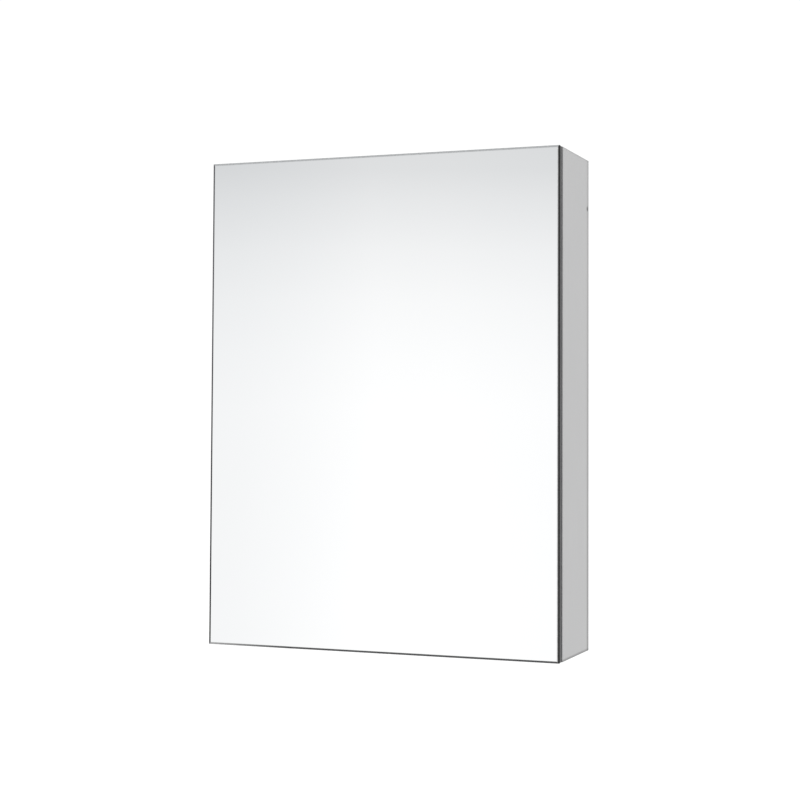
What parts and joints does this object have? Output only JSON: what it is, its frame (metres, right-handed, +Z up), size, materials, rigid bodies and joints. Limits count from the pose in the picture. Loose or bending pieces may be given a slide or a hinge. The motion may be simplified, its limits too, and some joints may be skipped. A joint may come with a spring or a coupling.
{
  "type": "medicine cabinet",
  "caption": "Wall-mounted bathroom cabinet: shallow aluminium box with glass shelves behind a full-width mirror door on a continuous side hinge.",
  "frame": {"origin": "centre of the four wall screw holes, on the wall plane at the cabinet's back", "axes": "+X to the right seen from the front, +Y into the wall, +Z up; the mirror faces -Y"},
  "size_m": [0.45, 0.138, 0.6],
  "materials": {
    "body_aluminium": "satin clear-anodised aluminium, pale silver grey",
    "back_paint": "white powder coat with a fine orange-peel",
    "standard_aluminium": "satin anodised, drawn along its length",
    "zinc_steel": "bright zinc plate",
    "dark_steel": "blackened rivet",
    "black_plastic": "moulded, fine grain",
    "white_plastic": "moulded acetal, satin",
    "shelf_glass": "clear float glass with polished, faintly green edges",
    "pin_chrome": "polished chrome plate",
    "clear_vinyl": "clear soft vinyl",
    "hinge_steel": "satin stainless",
    "magnet_nickel": "nickel-plated magnet",
    "black_rubber": "matt black rubber",
    "mirror": "silvered float glass",
    "black_foam": "closed-cell foam tape",
    "door_aluminium": "black-anodised extrusion, satin",
    "white_foam": "rigid foam board"
  },
  "bodies": {
    "cabinet": {"left_side": "body_aluminium", "right_side": "body_aluminium", "top_panel": "body_aluminium", "bottom_panel": "body_aluminium", "back_panel": "back_paint", "corner_keys": "zinc_steel", "corner_key_screws": "zinc_steel", "hanger_bracket_left": "zinc_steel", "hanger_bracket_right": "zinc_steel", "hanger_rivets": "dark_steel", "lower_fixing_plates": "zinc_steel", "wall_spacers": "black_plastic", "fixing_rivets": "zinc_steel", "left_front_standard": "standard_aluminium", "left_rear_standard": "standard_aluminium", "right_front_standard": "standard_aluminium", "right_rear_standard": "standard_aluminium", "standard_screws": "zinc_steel", "lower_shelf": "shelf_glass", "middle_shelf": "shelf_glass", "upper_shelf": "shelf_glass", "shelf_pins": "pin_chrome", "pin_sleeves": "clear_vinyl", "hinge_body_leaf": "hinge_steel", "hinge_pin": "hinge_steel", "body_leaf_screws": "zinc_steel", "latch_body": "black_plastic", "latch_spring": "zinc_steel", "door_bumpers": "clear_vinyl"},
    "door": {"front_mirror": "mirror", "mirror_tape": "black_foam", "door_left_stile": "door_aluminium", "door_right_stile": "door_aluminium", "door_top_rail": "door_aluminium", "door_bottom_rail": "door_aluminium", "door_corner_keys": "zinc_steel", "door_core": "white_foam", "inner_mirror": "mirror", "inner_mirror_seal": "black_rubber", "hinge_door_leaf": "hinge_steel", "door_leaf_screws": "zinc_steel", "strike_plate": "zinc_steel", "strike_screw": "zinc_steel"},
    "plunger": {"latch_plunger": "white_plastic", "latch_magnet": "magnet_nickel"}
  },
  "joints": [
    {"name": "door_hinge", "type": "hinge", "parent": "cabinet", "child": "door", "pos_m": [-0.2216, -0.1268, 0], "axis": [0, 0, -1], "range_deg": [0, 120]},
    {"name": "latch_press", "type": "slide", "parent": "cabinet", "child": "plunger", "axis": [0, 1, 0], "range_m": [0, 0.0015], "stiffness_N_per_m": 400, "deforming": ["latch_spring"]}
  ]
}
